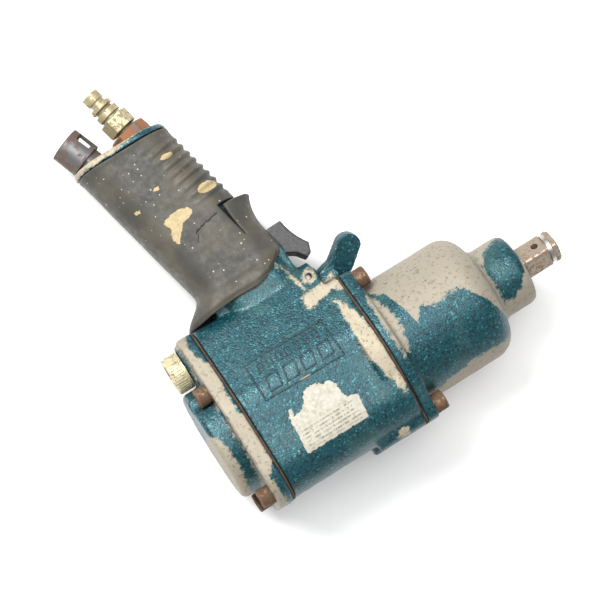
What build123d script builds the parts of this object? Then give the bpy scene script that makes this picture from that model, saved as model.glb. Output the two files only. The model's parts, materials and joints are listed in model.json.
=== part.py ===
"""Half-inch pistol-grip air impact wrench, modelled piece by piece, in millimetres.

Pieces are drawn in the tool's own axes: X runs forward along the spindle from the front gasket, Y runs
down towards the handle, and Z points out of the tool's left side. At export the whole tool is rolled onto
its right side, so that it rests on its front flange, its rear cover and the end of its handle.
"""
from math import asin, atan, cos, degrees, hypot, radians, sin, tan
import os

from build123d import *

# ---- Main casting stations along the spindle ----
GASKET = 1.0
HOUSING_FRONT = -GASKET / 2
HOUSING_REAR = -74.7
COVER_FRONT = HOUSING_REAR - GASKET
COVER_PLATE = 8.2
COVER_REAR = COVER_FRONT - COVER_PLATE
DOME_REAR = -95.5
FLANGE_THICK = 9.0
CASE_FLANGE_FRONT = 7.0

# ---- Cross sections of the castings ----
HOUSING_TOP = 38.3
HOUSING_HALF = 34.8
HOUSING_CORNER = 20.0
FLAT_END = 10.0
COVER_LIP = 1.1
VALVE_Y = 44.5
NECK_RADIUS = 12.8
NECK_HALF = 6.7
MOTOR_BORE = 30.0

# ---- Front flange and hammer case ----
FLANGE_RADIUS = 37.5
CASE_BOLT_Y = 36.0
CASE_BOLT_Z = 16.3
EAR_RADIUS = 6.3
CASE_RADIUS = 33.3
CASE_BORE = 29.8
SHOULDER_START = 50.0
SHOULDER_RADIUS = 12.0
NOSE_START = 65.0
NOSE_RADIUS = 19.0
NOSE_END = 83.0

# ---- Fasteners ----
BOLT_RADIUS = 2.95
THREAD_HOLE = 3.0
CLEARANCE_HOLE = 3.3
HEAD_RADIUS = 5.0
HEAD_HEIGHT = 6.5
KEY_RADIUS = 2.9
COVER_SCREW_TOP_Y = -30.5
COVER_SCREW_GRIP_Y = 27.0
COVER_SCREW_Z = 21.8

# ---- Handle ----
HANDLE_TILT = 12.8
HANDLE_ROOT_X = -38.4
HANDLE_ROOT_Y = 73.0
HANDLE_END = 155.0
RIM_HEIGHT = 3.5
GRIP_DEPTH = 50.0
GRIP_HALF = 20.0
SLEEVE_WALL = 2.5
BODY_TOP = 58.0

# ---- Air inlet and exhaust in the end of the handle ----
INLET_X = -46.5
INLET_TILT = 13.9
INLET_BORE = 8.0
EXHAUST_X = -71.4
EXHAUST_TILT = 20.5
EXHAUST_RADIUS = 9.25
EXHAUST_LENGTH = 17.5
SPIGOT_RADIUS = 7.5

# ---- Fits ----
RUNNING = 0.05
FREE = 0.3

# ---- Motor ----
LINER_REAR = -64.0
LINER_FRONT = -18.0
LINER_BORE = 25.0
LINER_OFFSET = 2.7
ROTOR_RADIUS = 22.0
ROTOR_SHAFT = 6.0
VANES = 6
VANE_THICK = 2.6
BEARING_OUTER = 14.0
BEARING_WIDTH = 8.0
BALLS = 8

# ---- Hammer mechanism ----
HAMMER_PIN_Y = 22.0
HAMMER_PIN_RADIUS = 3.5
HAMMER_RADIUS = 24.0
HAMMER_BORE = 16.0
HAMMER_WIDTH = 16.0
JAW_RADIUS = 13.6
LUG_RADIUS = 13.0
CAGE_RADIUS = 28.5
ANVIL_CORE = 9.0
ANVIL_JOURNAL = 9.45

# ---- Output square ----
SQUARE = 12.7
SQUARE_TURN = -40.0
ANVIL_TIP = 104.0
PIN_HOLE_X = 93.9
PIN_HOLE_RADIUS = 1.9

# ---- Trigger and throttle, measured along the trigger's line of travel ----
TRIGGER_X = -14.2
TRIGGER_Y = 74.0
TRIGGER_HALF = 7.5
THROTTLE_BORE = 8.0
THROTTLE_END = 29.0

# ---- Reverse lever ----
LEVER_REAR = -7.0
LEVER_HUB_FRONT = 3.5
LEVER_HUB_RADIUS = 7.0
LEVER_SWING = 50.0
BOSS_PIN_X = -11.2
BOSS_PIN_Y = 50.0
BOSS_PIN_RADIUS = 1.65

# ---- Knob ----
KNOB_RADIUS = 10.0
KNOB_REAR = -94.5
KNOB_FRONT = -86.3
KNURLS = 40

ROLL = degrees(asin(FLANGE_RADIUS / hypot(HANDLE_END, GRIP_HALF)) - atan(GRIP_HALF / HANDLE_END))


# ---- Drawing helpers ----
def section(x):
    """Plane across the spindle at x, drawn in (Y, Z), facing forward."""
    return Plane(origin=(x, 0, 0), x_dir=(0, 1, 0), z_dir=(1, 0, 0))


def side(z=0):
    """Plane of the tool's side view at height z, drawn in (X, Y), facing out of the left side."""
    return Plane(origin=(0, 0, z), x_dir=(1, 0, 0), z_dir=(0, 0, 1))


def rod(start, end, radius, y=0.0, z=0.0):
    """Solid cylinder along the spindle from start to end."""
    return extrude(section(start) * Pos(y, z) * Circle(radius), end - start)


def ring(start, end, outer, inner, y=0.0):
    """Hollow cylinder along the spindle."""
    return rod(start, end, outer, y) - rod(start - 1, end + 1, inner, y)


def disc_hull(circles):
    """Outline stretched round circles given as (Y, Z, radius)."""
    return make_hull([(Pos(y, z) * Circle(radius)).edge() for y, z, radius in circles])


def mirrored(points):
    """Each (Y, Z, radius) circle together with its twin on the right side."""
    return [(y, sign * z, radius) for y, z, radius in points for sign in (1, -1)]


def slab(outline, half, centre=0.0):
    """Side-view outline given a thickness of half on each side of centre."""
    return extrude(side(centre) * outline, half, both=True)


def line_rod(plane, start, end, radius):
    """Solid cylinder along the normal of a plane, between two distances from its origin."""
    return extrude(plane.offset(start) * Circle(radius), end - start)


def revolved(points):
    """Body of revolution about the spindle from a profile of (X, radius) points."""
    return revolve(side() * make_face(Polyline(*points, close=True)), Axis.X)


def handle_x(y):
    """Middle of the handle at a distance y below the spindle."""
    return HANDLE_ROOT_X - (y - HANDLE_ROOT_Y) * tan(radians(HANDLE_TILT))


def across_handle(y):
    """Plane level with the end of the handle, drawn in (X, -Z), facing down the handle."""
    return Plane(origin=(handle_x(y), y, 0), x_dir=(1, 0, 0), z_dir=(0, 1, 0))


def tilted_plane(x, y, tilt):
    """Plane at (x, y) whose normal leans backwards from the handle's downward direction by tilt."""
    return Plane(origin=(x, y, 0), x_dir=(cos(radians(tilt)), sin(radians(tilt)), 0),
                 z_dir=(-sin(radians(tilt)), cos(radians(tilt)), 0))


INLET = tilted_plane(INLET_X, HANDLE_END, INLET_TILT)
EXHAUST = tilted_plane(EXHAUST_X, HANDLE_END, EXHAUST_TILT)
TRIGGER = Plane(origin=(TRIGGER_X, TRIGGER_Y, 0), x_dir=(0, 0, 1),
                z_dir=(-cos(radians(HANDLE_TILT)), -sin(radians(HANDLE_TILT)), 0))
GRUB = Plane(origin=(-1.5, VALVE_Y, 0), x_dir=(1, 0, 0), z_dir=(0, 0, -1))
CASE_BOLTS = [(y, z) for y in (CASE_BOLT_Y, -CASE_BOLT_Y) for z in (CASE_BOLT_Z, -CASE_BOLT_Z)]
COVER_SCREWS = [(y, z) for y in (COVER_SCREW_TOP_Y, COVER_SCREW_GRIP_Y)
                for z in (COVER_SCREW_Z, -COVER_SCREW_Z)]


# ---- Shared outlines ----
def barrel_outline(lip=0.0):
    """Section of the motor housing; a lip makes it larger all round."""
    corner = HOUSING_CORNER
    circles = [(corner - HOUSING_TOP, HOUSING_HALF - corner, corner + lip),
               (FLAT_END, HOUSING_HALF - corner, corner + lip),
               (VALVE_Y, NECK_HALF, NECK_RADIUS + lip / 2)]
    return disc_hull(mirrored(circles))


def front_outline():
    """Front flange: a round with four bolt ears."""
    ears = [(y, z, EAR_RADIUS) for y, z in CASE_BOLTS]
    return disc_hull(ears + [(0, 0, FLANGE_RADIUS)])


def grip_outline(inset=0.0):
    """Section of the handle across the grip."""
    return RectangleRounded(GRIP_DEPTH - 2 * inset, 2 * (GRIP_HALF - inset) - 1, 16 - inset)


def lever_notch():
    """Room for the reverse lever's hub between the handle-side bolt ears."""
    hub_room = LEVER_HUB_RADIUS + FREE
    return rod(LEVER_REAR - 0.2, CASE_FLANGE_FRONT + 5, hub_room, VALVE_Y)


# ---- Castings ----
def handle_core():
    """Cast handle under the rubber, with the wider rim at its end."""
    core = loft([across_handle(BODY_TOP - 16) * grip_outline(SLEEVE_WALL),
                 across_handle(HANDLE_END - RIM_HEIGHT) * grip_outline(SLEEVE_WALL)])
    rim = loft([across_handle(HANDLE_END - RIM_HEIGHT) * RectangleRounded(52, 2 * GRIP_HALF, 17),
                across_handle(HANDLE_END) * RectangleRounded(50, 2 * GRIP_HALF - 2, 16)])
    return core + rim


def housing_body():
    """Outside of the motor housing before its bores are cut."""
    barrel = extrude(section(HOUSING_REAR) * barrel_outline(), HOUSING_FRONT - HOUSING_REAR)
    front_trim = Polyline((-60, 120), (TRIGGER_X + 0.2, 120), (TRIGGER_X + 0.2, 60), (-13.4, 57),
                          (LEVER_REAR - 0.3, 57), (LEVER_REAR - 0.3, 41.5), (2, 41.5), (2, -60),
                          (-80, -60), (-80, 120), close=True)
    barrel = barrel & slab(make_face(front_trim), 60)
    flange = extrude(section(HOUSING_FRONT - FLANGE_THICK) * front_outline(), FLANGE_THICK)
    neck = slab(make_face(Polyline((-60, 40), (-60, 82), (-18.4, 82), (-14, 70), (-14, 40), close=True)), 13)
    boss = slab(Pos(BOSS_PIN_X, BOSS_PIN_Y) * Circle(5.4), 14)
    shoulders = Part()
    for y, z in CASE_BOLTS:
        rear = -17 if y > 0 else -27
        shoulders += rod(rear, HOUSING_FRONT - 2, EAR_RADIUS, y, z)
    return barrel + flange + neck + boss + shoulders + handle_core()


def throttle_passages():
    """Air ways from the inlet to the throttle and on to the motor, and the exhaust way back down."""
    inlet = line_rod(INLET, -86, 4, INLET_BORE)
    chamber = line_rod(TRIGGER, 8, THROTTLE_END, THROTTLE_BORE)
    pocket = extrude(TRIGGER.offset(-12) * Pos(0, -1.8) * Rectangle(2 * TRIGGER_HALF + 0.8, 20.0), 20.4)
    exhaust_up = line_rod(tilted_plane(EXHAUST_X + 5.2, HANDLE_END - 14, HANDLE_TILT), -84, 0, 6)
    spigot = line_rod(EXHAUST, -16, 4, SPIGOT_RADIUS + RUNNING)
    feed = line_rod(Plane(origin=(-22, VALVE_Y, 0), z_dir=(0, 1, 0)), 0, 22, 4)
    ways = inlet + chamber + pocket + exhaust_up + spigot + feed
    for z in (12, -12):
        ways += line_rod(Plane(origin=(-40, 24, z), z_dir=(0, 1, 0)), 0, 36, 3)
    return ways


def motor_housing():
    body = housing_body()
    body -= lever_notch()
    body -= rod(HOUSING_REAR - 1, -8, MOTOR_BORE)
    body -= rod(-9, HOUSING_FRONT + 1, CASE_BORE)
    body -= rod(HOUSING_REAR - 1, -20, 9.05, VALVE_Y)
    body -= rod(-21, 0, ROTOR_SHAFT + RUNNING, VALVE_Y)
    body -= line_rod(Plane(origin=(BOSS_PIN_X, BOSS_PIN_Y, 0), z_dir=(0, 0, 1)), -20, 20,
                     BOSS_PIN_RADIUS + RUNNING)
    for y, z in CASE_BOLTS:
        body -= rod(-24, 0, THREAD_HOLE, y, z)
    for y, z in COVER_SCREWS:
        body -= rod(HOUSING_REAR - 1, -56, THREAD_HOLE, y, z)
    return body - throttle_passages()


def hammer_case():
    flange = extrude(section(GASKET / 2) * front_outline(), CASE_FLANGE_FRONT - GASKET / 2)
    drop = SHOULDER_RADIUS
    profile = Polyline((GASKET / 2, 0), (GASKET / 2, CASE_RADIUS), (SHOULDER_START, CASE_RADIUS))
    shoulder = RadiusArc((SHOULDER_START, CASE_RADIUS), (SHOULDER_START + drop, CASE_RADIUS - drop), drop)
    front = Polyline((SHOULDER_START + drop, CASE_RADIUS - drop), (NOSE_START, NOSE_RADIUS),
                     (NOSE_END - 4, NOSE_RADIUS), (NOSE_END - 1.2, NOSE_RADIUS - 1.2),
                     (NOSE_END, NOSE_RADIUS - 4), (NOSE_END, 0), (GASKET / 2, 0))
    shell = revolve(side() * make_face(profile + shoulder + front), Axis.X)
    cavity = revolved([(-1, 0), (-1, CASE_BORE), (47, CASE_BORE), (54, 22.8), (54, 0)])
    case = flange + shell - cavity
    case -= rod(50, NOSE_END + 1, 12.0)
    case -= rod(77, NOSE_END + 1, 13.5)
    case -= lever_notch()
    for y, z in CASE_BOLTS:
        case -= rod(-1, CASE_FLANGE_FRONT + 1, CLEARANCE_HOLE, y, z)
        case -= rod(CASE_FLANGE_FRONT, 18, HEAD_RADIUS + 1, y, z)
    return case


def rear_cover():
    """End plate with a domed air chamber and the neck that carries the regulator knob."""
    plate = extrude(section(COVER_REAR) * barrel_outline(COVER_LIP), COVER_PLATE)
    plate = chamfer(plate.faces().sort_by(Axis.X)[0].edges(), 0.8)
    dome = rod(DOME_REAR, COVER_REAR, 29.5, 4)
    dome = fillet(dome.faces().sort_by(Axis.X)[0].edges(), 3)
    neck = rod(KNOB_FRONT + 0.6, COVER_REAR, 11.5, VALVE_Y)
    web = extrude(section(KNOB_FRONT + 0.6) * Pos(30, 0) * Rectangle(30, 20), 3)
    cover = plate + dome + neck + web
    cover -= rod(DOME_REAR - 1, KNOB_FRONT + 0.6, KNOB_RADIUS + 0.8, VALVE_Y)
    cover -= rod(-90, COVER_FRONT + 1, 17, 2)
    cover -= rod(DOME_REAR, COVER_FRONT + 1, 4 + RUNNING, VALVE_Y)
    cover -= rod(-85.9, -78, 1.6, VALVE_Y, -6.5)
    for y, z in COVER_SCREWS:
        cover -= rod(COVER_REAR - 1, COVER_FRONT + 1, CLEARANCE_HOLE, y, z)
        cover -= rod(DOME_REAR - 1, COVER_REAR, HEAD_RADIUS + 0.8, y, z)
    return cover


def front_gasket():
    sheet = extrude(section(HOUSING_FRONT) * front_outline(), GASKET) - rod(-2, 2, CASE_BORE)
    for y, z in CASE_BOLTS:
        sheet -= rod(-2, 2, CLEARANCE_HOLE, y, z)
    return sheet - lever_notch()


def rear_gasket():
    sheet = extrude(section(COVER_FRONT) * barrel_outline(COVER_LIP / 2), GASKET)
    sheet -= rod(COVER_FRONT - 1, HOUSING_REAR + 1, MOTOR_BORE)
    sheet -= rod(COVER_FRONT - 1, HOUSING_REAR + 1, 9.05, VALVE_Y)
    for y, z in COVER_SCREWS:
        sheet -= rod(COVER_FRONT - 1, HOUSING_REAR + 1, CLEARANCE_HOLE, y, z)
    return sheet


def cap_screw(seat, length, y, z, facing):
    """Socket cap screw whose head stands on seat, on the side that facing (1 or -1) points to."""
    top = seat + facing * HEAD_HEIGHT
    low, high = sorted((seat, top))
    shank_low, shank_high = sorted((seat, seat - facing * length))
    head = rod(low, high, HEAD_RADIUS, y, z)
    outer = head.faces().sort_by(Axis.X)[-1 if facing > 0 else 0]
    head = chamfer(outer.edges(), 0.5)
    key_low, key_high = sorted((top + facing, top - facing * 3.5))
    key = extrude(section(key_low) * Pos(y, z) * RegularPolygon(KEY_RADIUS, 6), key_high - key_low)
    return head + rod(shank_low, shank_high, BOLT_RADIUS, y, z) - key


def hammer_case_bolts():
    return [cap_screw(CASE_FLANGE_FRONT + 0.05, 28, y, z, 1) for y, z in CASE_BOLTS]


def rear_cover_screws():
    return [cap_screw(COVER_REAR - 0.05, 26, y, z, -1) for y, z in COVER_SCREWS]


# ---- Motor ----
def cylinder_liner():
    liner = rod(LINER_REAR, LINER_FRONT, MOTOR_BORE - RUNNING)
    liner -= rod(LINER_REAR - 1, LINER_FRONT + 1, LINER_BORE, LINER_OFFSET)
    for x in (-56, -46, -36, -26):
        for z in (13.5, -13.5):
            liner -= line_rod(Plane(origin=(x, 10, z), z_dir=(0, 1, 0)), 0, 25, 3)
    return liner


def end_plate(inner, outer):
    """Steel disc that closes the liner and seats a rotor bearing on the side away from it."""
    low, high = sorted((inner, outer))
    facing = 1 if outer > inner else -1
    seat_low, seat_high = sorted((outer + facing, outer - facing * BEARING_WIDTH))
    plate = rod(low, high, MOTOR_BORE - RUNNING)
    plate -= rod(seat_low, seat_high, BEARING_OUTER)
    return plate - rod(low - 1, high + 1, ROTOR_SHAFT + 1.5)


def bearing_groove(start):
    middle = start + BEARING_WIDTH / 2
    return Plane(origin=(middle, 0, 0), x_dir=(0, 1, 0), z_dir=(1, 0, 0)) * Torus(10, 2.3)


def bearing_outer(start):
    return ring(start, start + BEARING_WIDTH, BEARING_OUTER - 0.02, 11.8) - bearing_groove(start)


def bearing_inner(start):
    return ring(start, start + BEARING_WIDTH, 8.2, ROTOR_SHAFT + 0.02) - bearing_groove(start)


def bearing_balls(start):
    middle = start + BEARING_WIDTH / 2
    turns = [radians(360 / BALLS * i) for i in range(BALLS)]
    return [Pos(middle, 10 * cos(a), 10 * sin(a)) * Sphere(2.2) for a in turns]


def rotor():
    body = rod(LINER_REAR + FREE, LINER_FRONT - FREE, ROTOR_RADIUS)
    for i in range(VANES):
        slot = Pos((LINER_REAR + LINER_FRONT) / 2, 18.5, 0) * Box(60, 9, VANE_THICK + 0.4)
        body -= Rot(360 / VANES * i, 0, 0) * slot
    rear_shaft = rod(-74.2, LINER_REAR + FREE, ROTOR_SHAFT)
    front_shaft = rod(LINER_FRONT - FREE, -8.6, ROTOR_SHAFT)
    drive = extrude(section(-8.6) * RegularPolygon(ROTOR_SHAFT, 6), 8)
    return body + rear_shaft + front_shaft + drive


def rotor_vanes():
    blade = Pos((LINER_REAR + LINER_FRONT) / 2, 18.2, 0) * Box(LINER_FRONT - LINER_REAR - 0.8, 7.4, VANE_THICK)
    return [Rot(360 / VANES * i, 0, 0) * blade for i in range(VANES)]


# ---- Hammer mechanism ----
def hammer_cage():
    """Two plates joined by side webs, with a hub that the rotor's hexagon drives."""
    cage = rod(3.5, 7.5, CAGE_RADIUS) + rod(43, 46.5, CAGE_RADIUS)
    window = Rectangle(22, 80)
    webs = extrude(section(5) * (Circle(CAGE_RADIUS) - Circle(26.3)) & section(5) * window, 40)
    cage += webs + rod(-8, 4, 10.5)
    cage -= extrude(section(-9) * RegularPolygon(ROTOR_SHAFT + 0.06, 6), 9.5)
    cage -= rod(2.0, 8, 6 + RUNNING)
    cage -= rod(40, 50, ANVIL_JOURNAL + 0.35)
    for y in (HAMMER_PIN_Y, -HAMMER_PIN_Y):
        cage -= rod(4.0, 50, HAMMER_PIN_RADIUS + 0.01, y)
    return cage


def hammer_pins():
    return [rod(4.1, 46.4, HAMMER_PIN_RADIUS, y) for y in (HAMMER_PIN_Y, -HAMMER_PIN_Y)]


def hammer(start, pivot):
    """Ring that swings on the pin at pivot and is stopped by the other pin in a wide slot."""
    ring_part = ring(start, start + HAMMER_WIDTH, HAMMER_RADIUS, HAMMER_BORE)
    jaw_window = section(start) * Rectangle(9, 80)
    jaws = section(start) * (Circle(HAMMER_BORE + 1) - Circle(JAW_RADIUS)) & jaw_window
    ring_part += extrude(jaws, HAMMER_WIDTH)
    ring_part -= rod(start - 1, start + HAMMER_WIDTH + 1, HAMMER_PIN_RADIUS + RUNNING, pivot)
    slot = section(start - 1) * Pos(-pivot * 1.13, 0) * RectangleRounded(14, 16, 3)
    return ring_part - extrude(slot, HAMMER_WIDTH + 2)


def anvil():
    core = rod(8, 50, ANVIL_CORE) + rod(3, 9, 6) + rod(49, 84, ANVIL_JOURNAL)
    for start, facing in ((9, -1), (26.5, 1)):
        lug = section(start) * (Circle(LUG_RADIUS) & Pos(facing * 12, 0) * Rectangle(14, 11))
        core += extrude(lug, HAMMER_WIDTH - 1)
    square = extrude(section(82) * Rot(0, 0, SQUARE_TURN) * RectangleRounded(SQUARE, SQUARE, 1.6), 22)
    square &= revolved([(80, 0), (80, 9.2), (84, 8.4), (ANVIL_TIP - 1.2, 8.4), (ANVIL_TIP, 7.2), (ANVIL_TIP, 0)])
    drive = core + square - ring(98.6, 101.0, 12, 6.3)
    across = Plane(origin=(PIN_HOLE_X, 0, 0), x_dir=(1, 0, 0),
                   z_dir=(0, -sin(radians(SQUARE_TURN)), cos(radians(SQUARE_TURN))))
    return drive - line_rod(across, -12, 12, PIN_HOLE_RADIUS)


def socket_retaining_ring():
    """Split spring ring in the groove of the square."""
    band = ring(98.8, 100.8, 7.6, 6.32)
    return band - extrude(section(98) * Pos(8, 0) * Rectangle(8, 2), 4)


def anvil_bushing():
    return ring(54.3, 76.8, 11.98, ANVIL_JOURNAL + RUNNING)


def oil_seal():
    return ring(77.2, 82.2, 13.45, ANVIL_JOURNAL + FREE)


# ---- Handle fittings ----
def grip_sleeve():
    """Rubber sleeve stretched over the handle, flared into a skirt over the housing."""
    body = loft([across_handle(68) * grip_outline(), across_handle(HANDLE_END - RIM_HEIGHT - 0.2) * grip_outline()])
    skirt_top = Plane(origin=(handle_x(70), 70, 0), x_dir=(1, 0, 0), z_dir=(0, 1, 0))
    skirt_end = Plane(origin=(-46.2, 57, 0), x_dir=(1, 0, 0), z_dir=(0, 1, 0))
    skirt = loft([skirt_top * grip_outline(), skirt_end * RectangleRounded(56.8, 46, 15)])
    sleeve = body + skirt
    front_cut = make_face(Polyline((-31, 50), (-31, 59), (-26, 61), (-21.4, 66.4), (-16, 68), (0, 68), (0, 50),
                                   close=True))
    sleeve -= slab(front_cut, 40)
    sleeve -= handle_core()
    sleeve -= extrude(section(-90) * barrel_outline(), 80)
    sleeve -= slab(make_face(Polyline((-60, 40), (-60, 82), (-18.4, 82), (-14, 70), (-14, 40), close=True)), 13)
    sleeve -= extrude(TRIGGER.offset(-12) * Rectangle(2 * TRIGGER_HALF + 2.4, 18.4), 17)
    return sleeve


def air_inlet_bushing():
    collar = extrude(INLET.offset(-3) * RegularPolygon(10.6, 6), 9.2) - above_handle_end()
    collar = chamfer(collar.faces().sort_by(Axis.Y)[-1].edges(), 0.8)
    thread = line_rod(INLET, -14, 2.5, INLET_BORE - RUNNING)
    return collar + thread - line_rod(INLET, -15, 8, 5.5)


def above_handle_end():
    """Everything on the housing's side of the handle's end face, with a hair of clearance."""
    return Pos(INLET_X, HANDLE_END - 19.95, 0) * Box(90, 40, 60)


def inlet_strainer():
    """Thimble of perforated sheet above the inlet bushing."""
    cup = line_rod(INLET, -32, -14.2, 5.6) - line_rod(INLET, -31, -14, 4.9)
    rim = line_rod(INLET, -15.4, -14.2, INLET_BORE - 0.1) - line_rod(INLET, -16, -14, 4.9)
    strainer = cup + rim
    for station in (-28, -24, -20):
        for turn in range(0, 180, 45):
            hole = INLET.offset(station) * Rot(0, 0, turn) * Rot(90, 0, 0) * Cylinder(1, 20)
            strainer -= hole
    return strainer


def coupler_plug():
    """Male quick-coupler plug: thread, hexagon, collar and a stepped nose with its locking groove."""
    thread = line_rod(INLET, -6, 8, 5.4)
    hexagon = extrude(INLET.offset(7.5) * RegularPolygon(14 / 2 / cos(radians(30)), 6), 8)
    steps = [(15.5, 17.0, 5.4), (17.0, 20.4, 6.25), (20.4, 22.2, 4.6), (22.2, 24.6, 6.0), (24.6, 27.0, 3.9),
             (27.0, 31.9, 4.75)]
    plug = thread + hexagon
    for start, end, radius in steps:
        plug += line_rod(INLET, start, end, radius)
    return plug - line_rod(INLET, -8, 34, 3.0)


def exhaust_tube():
    """Swivelling exhaust outlet with two slots in its side."""
    tube = line_rod(EXHAUST, -4, EXHAUST_LENGTH, EXHAUST_RADIUS)
    tube &= line_rod(EXHAUST, 3.6, EXHAUST_LENGTH, EXHAUST_RADIUS)
    tube += line_rod(EXHAUST, -14, 4, SPIGOT_RADIUS)
    tube -= line_rod(EXHAUST, -15, EXHAUST_LENGTH + 1, 6.0)
    tube -= line_rod(EXHAUST, 5, EXHAUST_LENGTH + 1, EXHAUST_RADIUS - 1.6)
    for turn in (38, -38):
        slot = EXHAUST.offset(10) * Rot(0, 0, turn) * Pos(9, 0, 0) * Box(6, 6.5, 8)
        tube -= slot
    return tube


# ---- Trigger and throttle ----
def trigger():
    """Finger saddle with its block and stem, drawn at rest."""
    face = Spline((-7.3, 81.9), (-5.6, 74.4), (-0.8, 65.2))
    rest = Polyline((-0.8, 65.2), (-2.6, 60.4), (-5.4, 59.2), (-8.6, 63.6), (-13.2, 66.5), (-19.0, 65.2),
                    (-22.0, 79.0), (-15.2, 81.6), (-7.3, 81.9))
    saddle = slab(make_face(face + rest), TRIGGER_HALF)
    saddle &= extrude(TRIGGER.offset(-20) * Rectangle(2 * TRIGGER_HALF, 60), 22.9)
    return saddle + line_rod(TRIGGER, 1, 13.5, 3)


def trigger_bushing():
    bushing = line_rod(TRIGGER, 8.8, 11.8, 7.95)
    return bushing - line_rod(TRIGGER, 8, 13, 3 + RUNNING)


def valve_seat():
    return line_rod(TRIGGER, 12.0, 13.4, 7.95) - line_rod(TRIGGER, 11, 14, 4.6)


def throttle_valve():
    stem_end = line_rod(TRIGGER, 13.55, 14.0, 3)
    return stem_end + line_rod(TRIGGER, 14.0, 17.0, 6.6) + line_rod(TRIGGER, 16.5, 22.5, 2.4)


def valve_spring():
    """Compression spring behind the throttle valve, drawn as short as a full pull makes it."""
    coil = Helix(pitch=1.3, height=5.8, radius=4.6)
    wire = Plane(origin=coil @ 0, z_dir=coil % 0) * Circle(0.5)
    return TRIGGER.offset(22.5) * sweep(wire, path=coil)


# ---- Reverse valve and lever ----
def reverse_bushing():
    bushing = ring(-57.5, -20.2, 9.0, ROTOR_SHAFT + RUNNING, VALVE_Y)
    for x in (-44, -30):
        bushing -= line_rod(Plane(origin=(x, VALVE_Y - 12, 0), z_dir=(0, 1, 0)), 0, 24, 2.6)
    return bushing


def reverse_valve():
    spool = rod(-57, LEVER_REAR + 0.4, ROTOR_SHAFT, VALVE_Y) + rod(LEVER_REAR, 2, 3.5, VALVE_Y)
    spool -= ring(-46, -42, 10, 3.8, VALVE_Y)
    spool -= ring(-32, -28, 10, 3.8, VALVE_Y)
    reach = BOSS_PIN_RADIUS + 0.4
    return spool - ring(BOSS_PIN_X - reach, BOSS_PIN_X + reach, 10, 3.4, VALVE_Y)


def reverse_lever():
    """Hub on the front of the reverse valve and a cranked finger tab, at rest turned to the left side."""
    hub = rod(LEVER_REAR + 0.4, LEVER_HUB_FRONT, LEVER_HUB_RADIUS, VALVE_Y)
    tab = Polyline((-4.5, 45), (-4.5, 51.3), (2.5, 53.2), (11.5, 60.8))
    tip = RadiusArc((11.5, 60.8), (20.9, 52.6), 6.6)
    back = Polyline((20.9, 52.6), (12.5, 45.0), (8.4, 42.0), (3.4, 40.5), (-4.5, 45))
    arm = slab(make_face(tab + tip + back), 3.2)
    lever = hub + arm
    lever -= rod(LEVER_REAR, 2.1, 3.52, VALVE_Y)
    return lever - line_rod(GRUB, 3, 8, 2.0)


def lever_screw():
    """Grub screw that clamps the lever on the reverse valve."""
    screw = line_rod(GRUB, 3.6, 6.6, 1.95)
    return screw - extrude(GRUB.offset(5) * RegularPolygon(1.1, 6), 2)


def valve_retaining_pin():
    return line_rod(Plane(origin=(BOSS_PIN_X, BOSS_PIN_Y, 0), z_dir=(0, 0, 1)), -12, 12, BOSS_PIN_RADIUS)


# ---- Regulator ----
def regulator_spindle():
    spindle = rod(-72.5, -59, 8.6, VALVE_Y) + rod(KNOB_REAR + 3, -72.5, 4, VALVE_Y)
    return spindle - rod(-66, -58, 5.5, VALVE_Y)


def regulator_knob():
    """Straight-knurled knob with an index notch in its rim."""
    knob = rod(KNOB_REAR, KNOB_FRONT, KNOB_RADIUS, VALVE_Y)
    knob = chamfer(knob.faces().sort_by(Axis.X)[0].edges(), 0.6)
    for i in range(KNURLS):
        turn = radians(360 / KNURLS * i)
        y = VALVE_Y + KNOB_RADIUS * cos(turn)
        z = KNOB_RADIUS * sin(turn)
        knob -= rod(KNOB_REAR - 1, KNOB_FRONT - 1.2, 0.32, y, z)
    knob -= rod(KNOB_REAR - 1, KNOB_REAR + 2, 6.5, VALVE_Y)
    knob -= Pos(KNOB_REAR, VALVE_Y, 10) * Box(4, 1.4, 2.4)
    return knob - rod(KNOB_REAR - 1, KNOB_FRONT + 1, 4.02, VALVE_Y)


def knob_screw():
    head = rod(KNOB_REAR + 0.6, KNOB_REAR + 2.8, 3.6, VALVE_Y)
    return head - Pos(KNOB_REAR + 0.6, VALVE_Y, 0) * Box(1.6, 6, 0.9)


def detent_ball():
    return Pos(-84.3, VALVE_Y, -6.5) * Sphere(1.5)


def detent_spring():
    coil = Helix(pitch=1.2, height=4.2, radius=1.1)
    wire = Plane(origin=coil @ 0, z_dir=coil % 0) * Circle(0.25)
    return Pos(-82.5, VALVE_Y, -6.5) * Rot(0, 90, 0) * sweep(wire, path=coil)


def name_label():
    """Thin printed label stuck on the left side."""
    return Pos(-37, -12, HOUSING_HALF + 0.1) * Box(34, 11, 0.2)


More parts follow.
